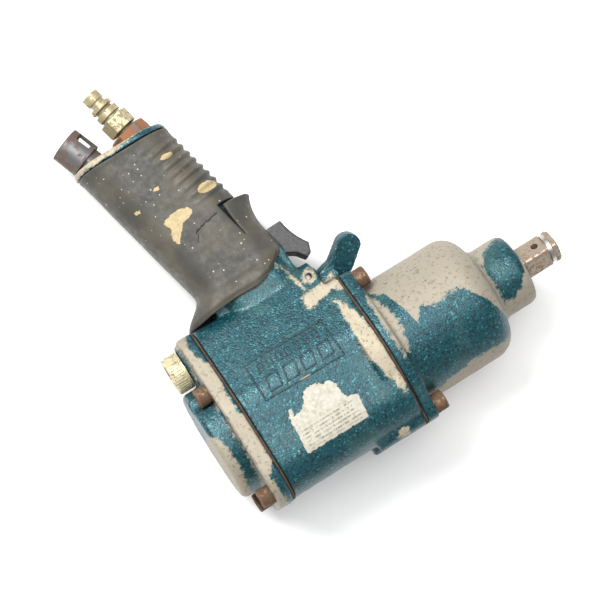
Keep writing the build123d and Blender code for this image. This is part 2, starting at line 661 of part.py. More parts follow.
# ---- Assembly ----
REAR_BEARING = LINER_REAR - 10.4
FRONT_BEARING = LINER_FRONT + 1.4
PIECES = {
    "motor_housing": motor_housing,
    "hammer_case": hammer_case,
    "rear_cover": rear_cover,
    "front_gasket": front_gasket,
    "rear_gasket": rear_gasket,
    "hammer_case_bolts": hammer_case_bolts,
    "rear_cover_screws": rear_cover_screws,
    "cylinder_liner": cylinder_liner,
    "front_end_plate": lambda: end_plate(LINER_FRONT, LINER_FRONT + 9.4),
    "rear_end_plate": lambda: end_plate(LINER_REAR, LINER_REAR - 10.4),
    "front_bearing_outer": lambda: bearing_outer(FRONT_BEARING),
    "front_bearing_inner": lambda: bearing_inner(FRONT_BEARING),
    "front_bearing_balls": lambda: bearing_balls(FRONT_BEARING),
    "rear_bearing_outer": lambda: bearing_outer(REAR_BEARING),
    "rear_bearing_inner": lambda: bearing_inner(REAR_BEARING),
    "rear_bearing_balls": lambda: bearing_balls(REAR_BEARING),
    "rotor": rotor,
    "rotor_vanes": rotor_vanes,
    "hammer_cage": hammer_cage,
    "hammer_pins": hammer_pins,
    "front_hammer": lambda: hammer(26, HAMMER_PIN_Y),
    "rear_hammer": lambda: hammer(8.5, -HAMMER_PIN_Y),
    "anvil": anvil,
    "socket_retaining_ring": socket_retaining_ring,
    "anvil_bushing": anvil_bushing,
    "oil_seal": oil_seal,
    "grip_sleeve": grip_sleeve,
    "air_inlet_bushing": air_inlet_bushing,
    "inlet_strainer": inlet_strainer,
    "coupler_plug": coupler_plug,
    "exhaust_tube": exhaust_tube,
    "trigger": trigger,
    "trigger_bushing": trigger_bushing,
    "valve_seat": valve_seat,
    "throttle_valve": throttle_valve,
    "valve_spring": valve_spring,
    "reverse_bushing": reverse_bushing,
    "reverse_valve": reverse_valve,
    "reverse_lever": reverse_lever,
    "lever_screw": lever_screw,
    "valve_retaining_pin": valve_retaining_pin,
    "regulator_spindle": regulator_spindle,
    "regulator_knob": regulator_knob,
    "knob_screw": knob_screw,
    "detent_ball": detent_ball,
    "detent_spring": detent_spring,
    "name_label": name_label,
}


def as_solids(made):
    """The piece's solids, whether it is one shape or a group of equal ones."""
    group = made if isinstance(made, list) else [made]
    return [solid for shape in group for solid in shape.solids()]


def rest_place(solids):
    """Roll the tool onto its right side and put the middle of its base at the origin."""
    rolled = Compound([Rot(-ROLL, 0, 0) * solid for solid in solids]).bounding_box()
    middle = rolled.center()
    return Pos(-middle.X, -middle.Y, -rolled.min.Z) * Rot(-ROLL, 0, 0)


os.makedirs("parts", exist_ok=True)
solids_of = {name: as_solids(make()) for name, make in PIECES.items()}
LEVER_TURN = Pos(0, VALVE_Y, 0) * Rot(LEVER_SWING / 2, 0, 0) * Pos(0, -VALVE_Y, 0)
for name in ("reverse_lever", "lever_screw"):
    solids_of[name] = [LEVER_TURN * solid for solid in solids_of[name]]
place = rest_place([solid for solids in solids_of.values() for solid in solids])
print("rest place", place.position, place.orientation, "roll", ROLL)
for name, solids in solids_of.items():
    export_step(Compound([place * solid for solid in solids]), f"parts/{name}.step")
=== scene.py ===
"""Looks of the half-inch air impact wrench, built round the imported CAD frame, in metres.

Places on the tool are given in the tool's own millimetres: x runs forward along the spindle from the front
gasket, y runs down towards the handle, and z points out of the left side.
"""
import json
import math

import bmesh
import bpy
from mathutils import Matrix, Vector, noise


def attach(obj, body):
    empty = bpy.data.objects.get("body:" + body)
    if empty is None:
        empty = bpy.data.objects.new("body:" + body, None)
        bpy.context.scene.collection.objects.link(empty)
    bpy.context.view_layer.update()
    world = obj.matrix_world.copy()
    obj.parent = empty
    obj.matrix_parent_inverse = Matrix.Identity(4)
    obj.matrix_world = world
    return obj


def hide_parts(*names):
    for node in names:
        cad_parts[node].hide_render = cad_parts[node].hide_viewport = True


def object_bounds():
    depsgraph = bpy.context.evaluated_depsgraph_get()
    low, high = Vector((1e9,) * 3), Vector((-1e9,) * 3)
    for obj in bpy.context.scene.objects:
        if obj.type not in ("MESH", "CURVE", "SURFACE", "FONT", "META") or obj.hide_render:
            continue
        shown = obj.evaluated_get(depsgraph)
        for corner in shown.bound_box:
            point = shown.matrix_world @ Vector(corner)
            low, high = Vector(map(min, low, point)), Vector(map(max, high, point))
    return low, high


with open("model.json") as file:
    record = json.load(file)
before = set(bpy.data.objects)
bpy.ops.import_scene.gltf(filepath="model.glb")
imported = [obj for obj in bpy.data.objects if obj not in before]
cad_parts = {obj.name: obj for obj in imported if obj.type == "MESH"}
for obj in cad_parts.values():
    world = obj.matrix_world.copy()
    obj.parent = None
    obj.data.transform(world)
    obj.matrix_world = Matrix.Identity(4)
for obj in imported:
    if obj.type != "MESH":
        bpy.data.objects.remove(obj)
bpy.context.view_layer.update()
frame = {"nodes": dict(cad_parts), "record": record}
record = frame["record"]

# ---- The tool's own axes in the row frame ----
MM = 0.001
DRIVE_TIP = 104.0
LEAN = math.radians(6.531)
tip = next(mount for mount in record["mounts"] if mount["name"] == "square_drive")["pos_m"]
LEAN_TURN = Matrix.Rotation(-LEAN, 3, "X")
AXES_ORIGIN = Vector(tip) - LEAN_TURN @ Vector((DRIVE_TIP * MM, 0, 0))


def place(x, y, z):
    """Point of the row frame at a place on the tool."""
    return AXES_ORIGIN + LEAN_TURN @ (Vector((x, y, z)) * MM)


# ---- Shape of the castings that other pieces follow ----
HANDLE_TILT = math.tan(math.radians(12.8))
HANDLE_ROOT = (-38.4, 73.0)
SIDE_Z = 34.8
SIDE_LOW, SIDE_HIGH = -18.3, 18.44
CORNER_Z = 14.8
CORNER_RADIUS = 20.0
SIDE_FALL = 0.4652


def handle_x(y):
    """Middle of the handle at a distance y below the spindle."""
    return HANDLE_ROOT[0] - (y - HANDLE_ROOT[1]) * HANDLE_TILT


def left_side(y):
    """Height of the motor housing's left side at y."""
    if y < SIDE_LOW:
        return CORNER_Z + math.sqrt(CORNER_RADIUS ** 2 - (y - SIDE_LOW) ** 2)
    if y < 10:
        return SIDE_Z
    if y < SIDE_HIGH:
        return CORNER_Z + math.sqrt(CORNER_RADIUS ** 2 - (y - 10) ** 2)
    return 32.93 - (y - SIDE_HIGH) * SIDE_FALL


# ---- Material building ----
def srgb(red, green, blue):
    """Linear colour from a display colour given in 0 to 255."""
    parts = [value / 255 for value in (red, green, blue)]
    return tuple(v / 12.92 if v <= 0.04045 else ((v + 0.055) / 1.055) ** 2.4 for v in parts) + (1.0,)


class Finish:
    """Node tree of one material, with short calls for the nodes that the finishes share."""

    def __init__(self, name, metallic=0.0, roughness=0.5):
        self.material = bpy.data.materials.new(name)
        self.material.use_nodes = True
        self.tree = self.material.node_tree
        self.shader = self.tree.nodes["Principled BSDF"]
        self.shader.inputs["Metallic"].default_value = metallic
        self.shader.inputs["Roughness"].default_value = roughness
        coordinates = self.add("ShaderNodeTexCoord").outputs["Object"]
        mapping = self.add("ShaderNodeMapping")
        turn = LEAN_TURN.transposed()
        mapping.inputs["Location"].default_value = -(turn @ AXES_ORIGIN) / MM
        mapping.inputs["Rotation"].default_value = (LEAN, 0, 0)
        mapping.inputs["Scale"].default_value = (1 / MM,) * 3
        self.link(coordinates, mapping.inputs["Vector"])
        self.point = mapping.outputs["Vector"]
        split = self.add("ShaderNodeSeparateXYZ")
        self.link(self.point, split.inputs[0])
        self.x, self.y, self.z = split.outputs

    def add(self, kind, **settings):
        node = self.tree.nodes.new(kind)
        for key, value in settings.items():
            setattr(node, key, value)
        return node

    def link(self, source, socket):
        if isinstance(source, bpy.types.NodeSocket):
            self.tree.links.new(source, socket)
        else:
            socket.default_value = source

    def math(self, operation, a, b=0.0, clamp=False):
        node = self.add("ShaderNodeMath", operation=operation, use_clamp=clamp)
        self.link(a, node.inputs[0])
        self.link(b, node.inputs[1])
        return node.outputs[0]

    def most(self, values):
        result = values[0]
        for value in values[1:]:
            result = self.math("MAXIMUM", result, value)
        return result

    def mix(self, factor, a, b):
        node = self.add("ShaderNodeMix", data_type="RGBA")
        self.link(factor, node.inputs[0])
        self.link(a, node.inputs[6])
        self.link(b, node.inputs[7])
        return node.outputs[2]

    def step(self, value, low, high, first=0.0, last=1.0):
        """Smooth rise from first to last as value goes from low to high."""
        node = self.add("ShaderNodeMapRange", interpolation_type="SMOOTHSTEP")
        for socket, setting in zip(node.inputs, (value, low, high, first, last)):
            self.link(setting, socket)
        return node.outputs[0]

    def noise(self, scale, detail=3.0, roughness=0.55, stretch=None):
        """Noise from 0 to 1 with scale features to the millimetre."""
        node = self.add("ShaderNodeTexNoise")
        self.link(self.stretched(stretch), node.inputs["Vector"])
        node.inputs["Scale"].default_value = scale
        node.inputs["Detail"].default_value = detail
        node.inputs["Roughness"].default_value = roughness
        return node.outputs[0]

    def stretched(self, factors):
        if factors is None:
            return self.point
        node = self.add("ShaderNodeVectorMath", operation="MULTIPLY")
        self.link(self.point, node.inputs[0])
        node.inputs[1].default_value = factors
        return node.outputs[0]

    def cells(self, scale):
        """Distance to the middle of a random cell, and a value of its own for each cell."""
        node = self.add("ShaderNodeTexVoronoi")
        self.link(self.point, node.inputs["Vector"])
        node.inputs["Scale"].default_value = scale
        split = self.add("ShaderNodeSeparateColor")
        self.link(node.outputs["Color"], split.inputs[0])
        return node.outputs["Distance"], split.outputs[0]

    def ramp(self, value, stops):
        node = self.add("ShaderNodeValToRGB")
        self.link(value, node.inputs[0])
        elements = node.color_ramp.elements
        while len(elements) < len(stops):
            elements.new(0.5)
        for element, (position, colour) in zip(elements, stops):
            element.position = position
            element.color = colour
        return node.outputs[0]

    def strip(self, across, along, stations):
        """How far inside a region a point is; stations give its two edges across at places along it."""
        start, end = stations[0][0], stations[-1][0]
        reach = 256.0
        share = self.math("DIVIDE", self.math("SUBTRACT", along, start), end - start, clamp=True)
        stops = [((s - start) / (end - start), (low / reach + 0.5, high / reach + 0.5, 0, 1))
                 for s, low, high in stations]
        split = self.add("ShaderNodeSeparateColor")
        self.link(self.ramp(share, stops), split.inputs[0])
        low, high = (self.math("MULTIPLY", self.math("SUBTRACT", out, 0.5), reach) for out in split.outputs[:2])
        inside = self.math("MINIMUM", self.math("SUBTRACT", across, low), self.math("SUBTRACT", high, across))
        ends = self.math("MINIMUM", self.math("SUBTRACT", along, start), self.math("SUBTRACT", end, along))
        return self.math("MINIMUM", inside, ends)

    def blob(self, middle, size):
        """How far inside an ellipse on the left side a point is, in millimetres at its long end."""
        run = self.math("DIVIDE", self.math("SUBTRACT", self.x, middle[0]), size[0])
        rise = self.math("DIVIDE", self.math("SUBTRACT", self.y, middle[1]), size[1])
        squares = self.math("ADD", self.math("MULTIPLY", run, run), self.math("MULTIPLY", rise, rise))
        return self.math("MULTIPLY", self.math("SUBTRACT", 1.0, self.math("SQRT", squares)), max(size))

    def sharpness(self, radius):
        """0 on flat faces, rising on edges that are tighter than radius millimetres."""
        bevel = self.add("ShaderNodeBevel", samples=4)
        bevel.inputs["Radius"].default_value = radius * MM
        geometry = self.add("ShaderNodeNewGeometry")
        dot = self.add("ShaderNodeVectorMath", operation="DOT_PRODUCT")
        self.link(bevel.outputs[0], dot.inputs[0])
        self.link(geometry.outputs["Normal"], dot.inputs[1])
        return self.math("SUBTRACT", 1.0, dot.outputs["Value"])

    def hollow(self, distance):
        """1 in the open, falling in corners and recesses closer than distance millimetres."""
        node = self.add("ShaderNodeAmbientOcclusion", samples=6)
        node.inputs["Distance"].default_value = distance * MM
        return node.outputs["AO"]

    def bump(self, height, strength=1.0):
        """Surface relief from a height in millimetres."""
        node = self.add("ShaderNodeBump")
        node.inputs["Strength"].default_value = strength
        node.inputs["Distance"].default_value = MM
        self.link(height, node.inputs["Height"])
        self.link(node.outputs[0], self.shader.inputs["Normal"])

    def done(self, colour, roughness=None, metallic=None):
        self.link(colour, self.shader.inputs["Base Color"])
        if roughness is not None:
            self.link(roughness, self.shader.inputs["Roughness"])
        if metallic is not None:
            self.link(metallic, self.shader.inputs["Metallic"])
        return self.material


TEAL_DARK = srgb(9, 38, 45)
TEAL = srgb(18, 70, 78)
TEAL_LIGHT = srgb(56, 116, 122)
CREAM = srgb(180, 170, 146)
BARE = srgb(146, 138, 122)
BROWN = srgb(104, 82, 58)
# Dark colour that paints shade into recesses and over the raised frame.
SHADE_DARK = srgb(36, 33, 29)


def painted(name, bare_regions, bare=CREAM, chips=0.5, rub=0.06, shade=0.0):
    """Hammertone enamel that is worn through to the casting in the given regions."""
    f = Finish(name)
    spread, tone = f.cells(1.25)
    cloud = f.noise(0.05, 3)
    grain = f.math("ADD", f.math("MULTIPLY", tone, 0.75), f.math("MULTIPLY", f.noise(0.9, 4, 0.7), 0.5))
    paint = f.ramp(grain, [(0.30, TEAL_DARK), (0.62, TEAL), (0.93, TEAL), (1.0, TEAL_LIGHT)])
    paint = f.mix(f.step(cloud, 0.5, 0.75, 0, 0.45), paint, srgb(70, 100, 96))
    ragged = f.math("MULTIPLY", f.math("SUBTRACT", f.noise(0.3, 8, 0.78), 0.5), 11.0)
    inside = f.math("ADD", f.most([region(f) for region in bare_regions]), ragged)
    worn = f.step(inside, -0.1, 0.1)
    rim = f.math("SUBTRACT", f.step(inside, -0.75, -0.45), worn, clamp=True)
    chip_spread, chip_tone = f.cells(0.16)
    chip_size = f.math("MULTIPLY", f.math("SUBTRACT", chip_tone, 1 - chips * 0.4), 0.55)
    chipped = f.step(f.math("SUBTRACT", chip_size, chip_spread), 0.0, 0.02)
    rubbed = f.step(f.math("MULTIPLY", f.sharpness(0.9), f.noise(0.35, 5, 0.7)), rub * 0.6, rub)
    bared = f.most([worn, chipped, rubbed])
    stain = f.step(f.noise(0.5, 7, 0.78), 0.53, 0.62, 0, 0.75)
    metal = f.mix(stain, f.mix(f.noise(0.12, 4), bare, BARE), BROWN)
    colour = f.mix(f.math("MULTIPLY", rim, 0.35), paint, CREAM)
    colour = f.mix(bared, colour, metal)
    # Painted shade: ambient occlusion darkens the paint in corners and recesses.
    recess_shade = f.step(f.hollow(5.0), 0.35, 0.85, 0.8, 0.0)
    colour = f.mix(recess_shade, colour, SHADE_DARK)
    # Painted shade: when shade is given, the whole finish is darkened by a noisy amount.
    if shade:
        colour = f.mix(f.step(f.noise(0.5, 4), 0.2, 0.5, shade, 0.4 * shade), colour, SHADE_DARK)
    gloss = f.mix(bared, (0.38, 0.38, 0.38, 1), (0.62, 0.62, 0.62, 1))
    relief = f.math("MULTIPLY", f.math("SUBTRACT", 1.0, bared),
                    f.math("ADD", 0.12, f.math("MULTIPLY", spread, -0.16)))
    relief = f.math("ADD", relief, f.math("MULTIPLY", f.noise(1.5, 4, 0.7), 0.05))
    f.bump(relief, 0.7)
    metallic = f.mix(bared, (0.35, 0.35, 0.35, 1), (0.25, 0.25, 0.25, 1))
    return f.done(colour, gloss, metallic)


def housing_paint():
    """Worn through along the front flange, on its handle-side boss and round the pin hole."""
    return painted("housing_hammertone", [
        lambda f: f.strip(f.x, f.y, [(-24, -3.5, -2.5), (-17, -5, 0), (-9, -7.5, 0), (0, -9.8, 0),
                                     (7, -10, -0.6), (13, -9, -1), (19, -9, -1.6), (27, -8, -4.6),
                                     (32, -8, -6.6)]),
        lambda f: f.strip(f.y, f.x, [(-20.5, 36, 42), (-17, 35.5, 43), (-10, 38, 44), (-6, 38.5, 44), (0, 35, 46)]),
        lambda f: f.blob((-11.2, 50.0), (3.4, 3.4)),
        lambda f: f.strip(f.x, f.y, [(45, -17.4, -16.8), (52, -18.0, -17.4), (58, -19.4, -18.8),
                                     (65, -22.2, -21.6)]),
        lambda f: f.blob((-13, -40), (3, 2)),
        lambda f: f.strip(f.y, f.x, [(-84, 152.4, 160), (-60, 152.6, 160), (-52, 154.4, 160), (-40, 156, 160)]),
    ])


def case_paint():
    """Bare on its handle side, with a jagged edge, in a band at its lower edge and on the nose."""
    return painted("case_hammertone", [
        lambda f: f.strip(f.y, f.x, [(9, 26, 60), (15, 23, 60), (18, 12, 60), (20, 2, 60), (26, 8.5, 60),
                                     (33, 4.5, 60), (39, 6, 60), (46, 6.5, 60), (51, 0.5, 60), (56, -7, 60),
                                     (60, -16, 60), (64, -26, 60)]),
        lambda f: f.strip(f.z, f.x, [(6, -60, 9), (20, -60, 15), (38, -60, 18), (52, -60, 17), (62, -60, 10)]),
        lambda f: f.strip(f.y, f.x, [(64, 6, 60), (68, 14, 60), (74, 17, 60), (83, 19, 60)]),
        lambda f: f.strip(f.y, f.x, [(64, -60, -12), (70, -60, -13), (76, -60, -10), (81, -60, -4), (84, -60, 10)]),
        lambda f: f.strip(f.x, f.y, [(-8, 6.2, 9), (4, 5.0, 12), (12, 5.2, 12), (20, 5.4, 10), (27, 6.2, 8)]),
        lambda f: f.strip(f.z, f.x, [(0, -40, 6), (7, -40, 4)]),
    ], bare=srgb(140, 134, 121), chips=0.35)


def cover_paint():
    """Bare round its rim except at both ends, and along the rear edge of the dome."""
    return painted("cover_hammertone", [
        lambda f: f.math("MINIMUM",
                         f.strip(f.x, f.y, [(-60, -84, -75), (-36, -84, -80), (-24, -84, -81), (-17, -84, -76),
                                            (8, -84, -75), (12, -84, -78), (24, -84, -77.6), (29, -84, -75),
                                            (38, -84, -75), (42, -84, -79), (50, -84, -81), (53, -84, -80),
                                            (70, -84, -76)]),
                         f.math("SUBTRACT", 5.0, f.math("MULTIPLY", f.z, 0.0))),
        lambda f: f.strip(f.x, f.y, [(-26, -96.5, -91), (-20, -96.5, -91.5), (-11, -96.5, -90), (-3, -96.5, -90.5),
                                     (3, -96.5, -91.5), (8, -96.5, -94.5)]),
    ], bare=srgb(156, 148, 132), chips=0.3)


def rubber(name, base, dust, patches=(), cracks=()):
    """Aged rubber with dust, pale speckles, scraped patches and painted shade in its hollows."""
    f = Finish(name, roughness=0.62)
    cloud = f.noise(0.045, 4, 0.6)
    body = f.mix(f.step(cloud, 0.35, 0.7), base, dust)
    body = f.mix(f.math("MULTIPLY", f.noise(2.2, 4, 0.7), 0.35), body, srgb(30, 29, 27))
    spread, tone = f.cells(0.42)
    speck = f.step(f.math("SUBTRACT", f.math("MULTIPLY", f.math("SUBTRACT", tone, 0.55), 0.5), spread), 0, 0.05)
    body = f.mix(f.math("MULTIPLY", speck, 0.8), body, srgb(176, 170, 148))
    ragged = f.math("MULTIPLY", f.math("SUBTRACT", f.noise(0.45, 7, 0.8), 0.5), 5.5)
    relief = f.math("MULTIPLY", f.noise(1.1, 5, 0.65), 0.12)
    if patches:
        inside = f.math("ADD", f.most([patch(f) for patch in patches]), ragged)
        scraped = f.math("MULTIPLY", f.step(inside, -0.1, 0.1), f.step(f.z, 0.0, 2.0))
        body = f.mix(scraped, body, f.mix(f.noise(0.6, 4), srgb(184, 168, 126), srgb(148, 128, 92)))
        relief = f.math("SUBTRACT", relief, f.math("MULTIPLY", scraped, 0.25))
    if cracks:
        wander = f.math("MULTIPLY", f.math("SUBTRACT", f.noise(0.35, 5, 0.7), 0.5), 3.4)
        inside = f.most([crack(f, wander) for crack in cracks])
        split = f.math("MULTIPLY", f.step(inside, -0.05, 0.18), f.step(f.z, 8.0, 10.0))
        body = f.mix(split, body, srgb(12, 12, 11))
        relief = f.math("SUBTRACT", relief, f.math("MULTIPLY", split, 0.6))
    # Painted shade: ambient occlusion darkens the rubber in hollows.
    body = f.mix(f.step(f.hollow(4.0), 0.3, 0.85, 0.75, 0.0), body, srgb(22, 20, 17))
    f.bump(relief, 0.8)
    return f.done(body, f.step(f.noise(0.3, 4), 0.3, 0.7, 0.5, 0.72))


def crack_line(stations, width):
    """Region of a crack that wanders about the line through the stations."""
    def region(f, wander):
        across = f.math("ADD", f.y, wander)
        return f.strip(across, f.x, [(x, y - width / 2, y + width / 2) for x, y in stations])
    return region


def sleeve_rubber():
    return rubber("aged_rubber", srgb(58, 57, 52), srgb(86, 81, 68), patches=[
        lambda f: f.blob((-50.5, 108.3), (7.6, 3.4)),
        lambda f: f.strip(f.x, f.y, [(97, -57.6, -56.6), (101, -58.6, -53), (105, -57, -50), (109, -56, -46)]),
        lambda f: f.blob((-30.0, 114.3), (5.6, 2.7)),
        lambda f: f.blob((-39.3, 137.4), (3.4, 1.5)),
        lambda f: f.blob((-66.0, 121.0), (1.4, 1.0)),
        lambda f: f.blob((-52.0, 126.0), (1.6, 1.0)),
    ], cracks=[
        crack_line([(-47.5, 97.0), (-43.0, 99.0), (-37.5, 99.2), (-33.0, 100.6)], 0.7),
        crack_line([(-48.5, 93.0), (-46.5, 96.0), (-45.5, 99.0)], 0.8),
    ])


def steel(name, base, stain, amount=0.5, metallic=0.85, roughness=0.38, scale=0.35, lines=None):
    """Worn metal with stains that gather in noise-shaped areas, and painted shade in its hollows."""
    f = Finish(name)
    stained = f.step(f.noise(scale, 6, 0.7), 0.66 - amount * 0.3, 0.76 - amount * 0.3)
    tone = f.mix(f.noise(1.6, 4, 0.6, lines), base, tuple(0.6 * part for part in base[:3]) + (1.0,))
    colour = f.mix(stained, tone, stain)
    # Painted shade: ambient occlusion darkens the metal in hollows.
    colour = f.mix(f.step(f.hollow(2.0), 0.3, 0.9, 0.75, 0.0), colour, SHADE_DARK)
    bright = f.step(f.sharpness(0.4), 0.02, 0.08, 0, 0.6)
    colour = f.mix(bright, colour, tuple(min(1.0, 1.35 * part) for part in base[:3]) + (1.0,))
    rough = f.mix(stained, (roughness,) * 3 + (1,), (0.75, 0.75, 0.75, 1))
    f.bump(f.math("ADD", f.math("MULTIPLY", f.noise(1.2, 5, 0.7, lines), 0.06),
                  f.math("MULTIPLY", stained, 0.04)), 0.8)
    shine = f.mix(stained, (metallic,) * 3 + (1,), (0.15, 0.15, 0.15, 1))
    return f.done(colour, rough, shine)


def plastic(name, base, scuff, roughness=0.45):
    f = Finish(name, roughness=roughness)
    scuffed = f.step(f.noise(0.5, 6, 0.7), 0.55, 0.75, 0, 0.6)
    worn = f.step(f.sharpness(0.8), 0.03, 0.15, 0, 0.5)
    colour = f.mix(f.most([scuffed, worn]), base, scuff)
    f.bump(f.math("MULTIPLY", f.noise(2.0, 4, 0.6), 0.05), 0.6)
    return f.done(colour, f.step(f.noise(0.8, 4), 0.3, 0.7, roughness - 0.08, roughness + 0.15))


def label_film():
    """Scuffed cream film with rows of plain grey dashes that stand for its print."""
    f = Finish("label_film", roughness=0.45)
    base = f.mix(f.step(f.noise(0.5, 5, 0.7), 0.45, 0.7), srgb(168, 164, 150), srgb(142, 135, 116))
    rows = f.math("FRACT", f.math("DIVIDE", f.math("ADD", f.y, 60.0), 1.9))
    in_row = f.math("MULTIPLY", f.step(rows, 0.25, 0.32), f.step(rows, 0.62, 0.70, 1.0, 0.0))
    dashes = f.step(f.noise(1.3, 2, 0.5, (1.0, 0.3, 0.1)), 0.44, 0.48)
    printed = f.strip(f.y, f.x, [(-57, -23.2, -12.4), (-27, -23.2, -12.4)])
    ink = f.math("MULTIPLY", f.math("MULTIPLY", in_row, dashes), f.step(printed, 0, 0.3))
    faded = f.math("MULTIPLY", ink, f.step(f.noise(0.25, 3), 0.35, 0.6, 0.35, 0.8))
    colour = f.mix(faded, base, srgb(84, 84, 78))
    torn = f.math("MULTIPLY", f.step(f.y, -11.5, -9.5), f.step(f.noise(0.45, 5, 0.7), 0.45, 0.6))
    colour = f.mix(f.math("MULTIPLY", torn, 0.35), colour, srgb(196, 194, 186))
    worn = f.step(f.noise(0.8, 6, 0.75), 0.62, 0.68, 0, 0.7)
    colour = f.mix(worn, colour, srgb(120, 116, 96))
    f.bump(f.math("MULTIPLY", f.noise(0.7, 4), 0.08), 0.6)
    return f.done(colour, f.step(f.noise(0.6, 3), 0.3, 0.7, 0.4, 0.6))


RUST = srgb(112, 70, 42)
SLOT_MATERIALS = {
    "housing_paint": housing_paint(),
    "case_paint": case_paint(),
    "cover_paint": cover_paint(),
    "gasket_fibre": steel("gasket_sheet", srgb(74, 56, 40), srgb(40, 34, 28), 0.6, 0.0, 0.8),
    "bolt_steel": steel("rusty_screws", srgb(128, 104, 80), srgb(84, 60, 42), 0.9, 0.6, 0.5, 0.3),
    "cast_iron": steel("cast_iron", srgb(120, 118, 114), srgb(84, 80, 74), 0.4, 0.9, 0.5),
    "machined_steel": steel("machined_steel", srgb(186, 184, 180), srgb(140, 134, 124), 0.3, 0.95, 0.3),
    "hammer_steel": steel("hammer_steel", srgb(160, 156, 150), srgb(110, 104, 96), 0.4, 0.95, 0.35),
    "phenolic": plastic("phenolic", srgb(120, 72, 44), srgb(150, 104, 70), 0.6),
    "anvil_steel": steel("anvil_steel", srgb(176, 164, 148), srgb(128, 106, 86), 0.6, 0.75, 0.36, 0.4),
    "bronze": steel("bronze", srgb(190, 150, 96), srgb(120, 90, 60), 0.4, 0.9, 0.4),
    "brass_knob": steel("dull_brass", srgb(206, 196, 160), srgb(120, 110, 84), 0.5, 0.35, 0.45, 0.5),
    "plug_metal": steel("plated_plug", srgb(182, 170, 136), srgb(132, 116, 84), 0.6, 0.5, 0.42, 0.4),
    "rusty_steel": steel("rusted_collar", srgb(112, 88, 70), srgb(136, 86, 50), 0.8, 0.3, 0.6, 0.18),
    "exhaust_steel": steel("oxidised_tube", srgb(112, 112, 112), srgb(88, 72, 64), 0.7, 0.6, 0.45, 0.16),
    "grip_rubber": sleeve_rubber(),
    "seal_rubber": rubber("seal_rubber", srgb(28, 28, 28), srgb(44, 42, 40)),
    "trigger_plastic": plastic("trigger_plastic", srgb(40, 39, 40), srgb(92, 88, 82), 0.42),
    "valve_aluminium": steel("turned_aluminium", srgb(200, 200, 202), srgb(150, 150, 150), 0.2, 0.95, 0.3),
    "label_film": label_film(),
}
print("materials", len(SLOT_MATERIALS))

# ---- CAD nodes take the finish of their slot ----
SLOT_OF = {part["node"]: part["material_slot"] for part in record["subparts"]}
for node, cad_object in frame["nodes"].items():
    cad_object.data.materials.clear()
    cad_object.data.materials.append(SLOT_MATERIALS[SLOT_OF[node]])


# ---- Pieces that stand for CAD nodes ----
def body_of(node):
    return next(body for body, nodes in record["behaviour"]["bodies"].items() if node in nodes)


def add_piece(name, mesh, node, finish=None):
    """Object from a mesh in the row frame that stands for a CAD node and takes its slot and finish."""
    piece = bpy.data.objects.new(name, mesh)
    bpy.context.scene.collection.objects.link(piece)
    mesh.materials.clear()
    mesh.materials.append(finish or SLOT_MATERIALS[SLOT_OF[node]])
    for polygon in mesh.polygons:
        polygon.use_smooth = True
    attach(piece, body_of(node))
    return piece


def applied(piece):
    """Bake the piece's modifiers into its mesh."""
    bpy.context.view_layer.update()
    evaluated = piece.evaluated_get(bpy.context.evaluated_depsgraph_get())
    mesh = bpy.data.meshes.new_from_object(evaluated)
    piece.modifiers.clear()
    piece.data = mesh
    for polygon in mesh.polygons:
        polygon.use_smooth = True


def softened(node, voxel, rounds, factor=0.5, rough=0.0):
    """Copy of a CAD piece with the rounded edges, blended corners and slight waviness of a casting."""
    mesh = frame["nodes"][node].data.copy()
    grown = bmesh.new()
    grown.from_mesh(mesh)
    bmesh.ops.remove_doubles(grown, verts=grown.verts, dist=0.002 * MM)
    grown.to_mesh(mesh)
    grown.free()
    piece = add_piece(node + "_cast", mesh, node)
    remesh = piece.modifiers.new("remesh", "REMESH")
    remesh.mode = "VOXEL"
    remesh.voxel_size = voxel * MM
    smooth = piece.modifiers.new("smooth", "SMOOTH")
    smooth.factor = factor
    smooth.iterations = rounds
    applied(piece)
    if rough:
        starts = [(vertex.co.copy(), vertex.normal.copy()) for vertex in piece.data.vertices]
        moved = []
        for point, normal in starts:
            wave = noise.fractal(point / MM * 0.12, 1.0, 2.0, 3)
            moved.extend(point + normal * (wave - 0.35) * rough * MM)
        piece.data.vertices.foreach_set("co", moved)
        piece.data.update()
    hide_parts(node)
    return piece


softened("motor_housing", 0.8, 6, rough=0.10)
softened("hammer_case", 0.8, 8, rough=0.10)
softened("rear_cover", 0.7, 5, rough=0.06)
softened("reverse_lever", 0.45, 10)
softened("trigger", 0.45, 6)
softened("air_inlet_bushing", 0.45, 6, rough=0.12)
softened("coupler_plug", 0.3, 4)


# ---- Rubber grip sleeve, ribbed and torn at the front ----
SLEEVE_END = 151.2
TEAR_TOP = 103.5
TEAR_BOTTOM = 84.0
SLIT_OFFSET = 14.3
SLEEVE_WALL = 2.2
COLUMNS = 144
ROWS = 150
SKIRT_EDGE = [(-78, 56.4), (-74.5, 56.7), (-59.6, 58.7), (-45.9, 59.7), (-33.2, 59.2), (-28.0, 60.6),
              (-24.0, 64.0), (-21.0, 67.4), (-14.0, 68.4), (0, 68.6)]


def along(stations, value):
    """Value read between the given stations in a straight line."""
    for (a, first), (b, last) in zip(stations, stations[1:]):
        if value <= b:
            share = max(0.0, (value - a) / (b - a))
            return first + (last - first) * share
    return stations[-1][1]


def ease(low, high, value):
    share = min(1.0, max(0.0, (value - low) / (high - low)))
    return share * share * (3 - 2 * share)


def rounded_section(turn, half_x, half_z, corner):
    """Point of a rounded rectangle in the direction of turn, with the outward direction there."""
    c, s = math.sin(turn), math.cos(turn)
    core_x, core_z = half_x - corner, half_z - corner
    reach = 1.0 / max(abs(c) / half_x, abs(s) / half_z, 1e-9)
    x, z = c * reach, s * reach
    near_x = max(-core_x, min(core_x, x))
    near_z = max(-core_z, min(core_z, z))
    out = Vector((x - near_x, z - near_z))
    out = out.normalized() if out.length > 1e-6 else Vector((c, s)).normalized()
    return near_x + out.x * corner, near_z + out.y * corner, out


